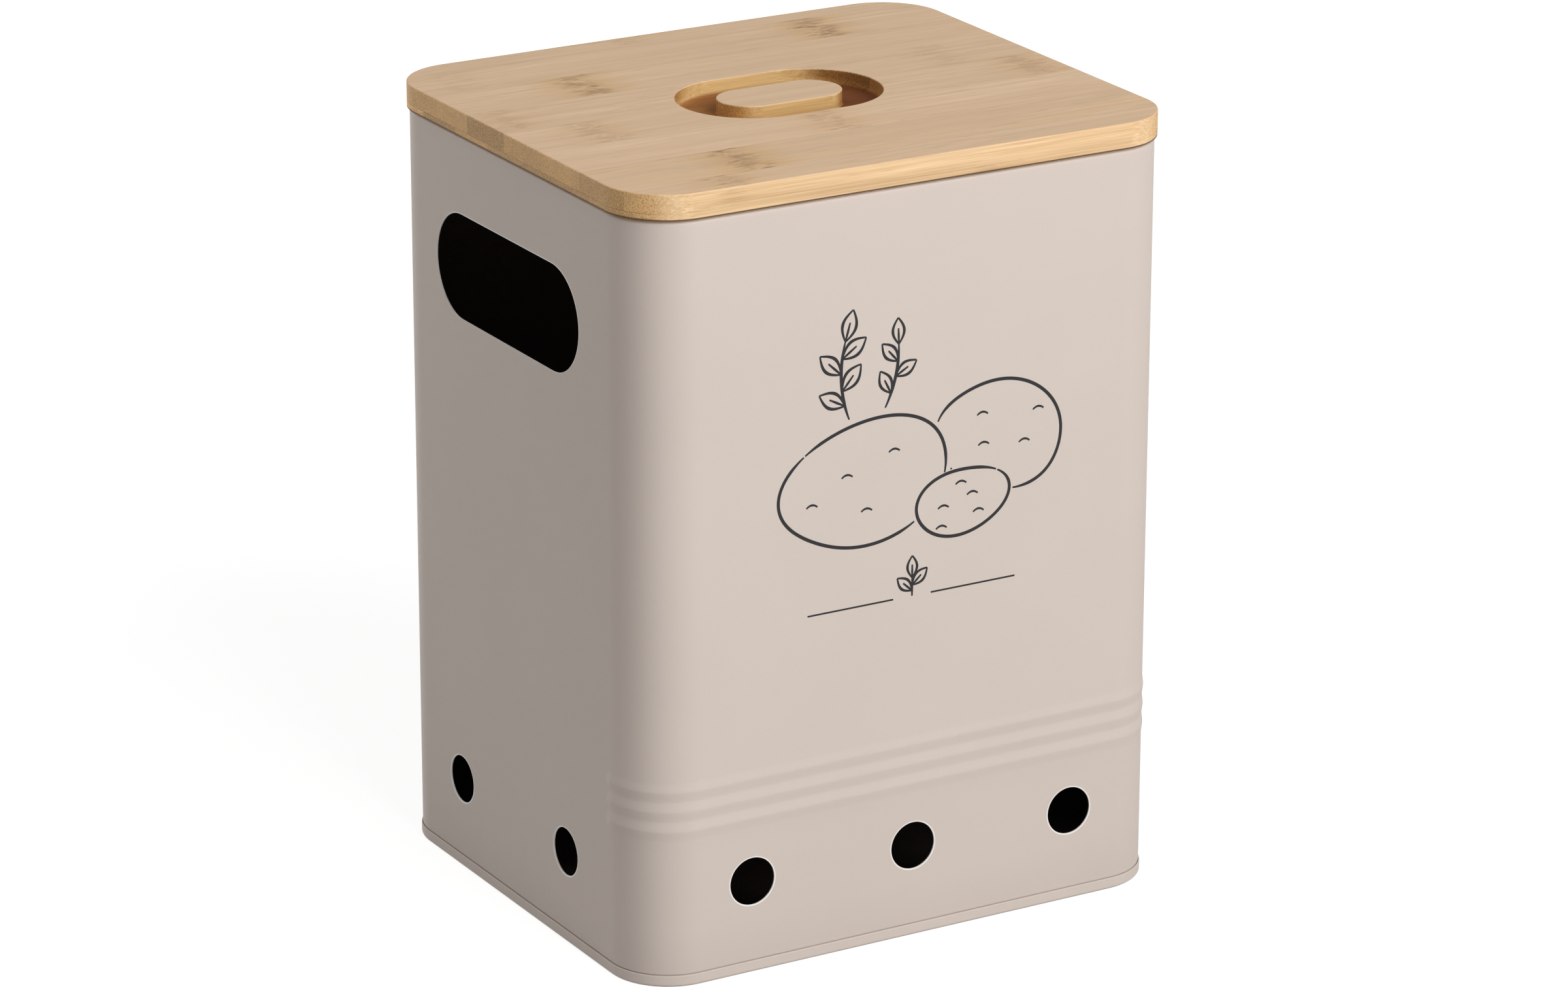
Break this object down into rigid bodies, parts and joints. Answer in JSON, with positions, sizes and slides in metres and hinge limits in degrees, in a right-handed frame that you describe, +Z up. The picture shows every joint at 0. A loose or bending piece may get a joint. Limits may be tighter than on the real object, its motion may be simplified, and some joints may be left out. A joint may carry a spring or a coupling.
{
  "type": "potato storage bin",
  "caption": "Tall painted steel kitchen bin for potatoes with rounded corners, hand slots, low air vents and a lift-off bamboo lid with a milled finger grip.",
  "frame": {"origin": "middle of the footprint, on the surface that the bin stands on", "axes": "+Z up, the front wall with the row of vents and the ribs faces -Y, the narrow walls with the hand slots face -X and +X"},
  "size_m": [0.2264, 0.1954, 0.3],
  "materials": {
    "painted_steel": "matt warm grey paint outside, black lacquer inside",
    "bamboo_upper": "sanded bamboo, clear matt oil",
    "bamboo_lower": "sanded bamboo, clear matt oil",
    "silicone": "milky white silicone"
  },
  "bodies": {
    "bin": {"body_shell": "painted_steel", "bottom_panel": "painted_steel"},
    "lid": {"lid_plug": "bamboo_lower", "sealing_ring": "silicone", "upper_strip_1": "bamboo_upper", "upper_strip_2": "bamboo_upper", "upper_strip_3": "bamboo_upper", "upper_strip_4": "bamboo_upper", "upper_strip_5": "bamboo_upper", "upper_strip_6": "bamboo_upper", "upper_strip_7": "bamboo_upper", "upper_strip_8": "bamboo_upper", "lower_strip_1": "bamboo_lower", "lower_strip_2": "bamboo_lower", "lower_strip_3": "bamboo_lower", "lower_strip_4": "bamboo_lower", "lower_strip_5": "bamboo_lower", "lower_strip_6": "bamboo_lower", "lower_strip_7": "bamboo_lower", "lower_strip_8": "bamboo_lower", "lower_strip_9": "bamboo_lower"}
  },
  "joints": [
    {"name": "lid_lift", "type": "slide", "parent": "bin", "child": "lid", "axis": [0, 0, 1], "range_m": [0, 0.15]}
  ]
}
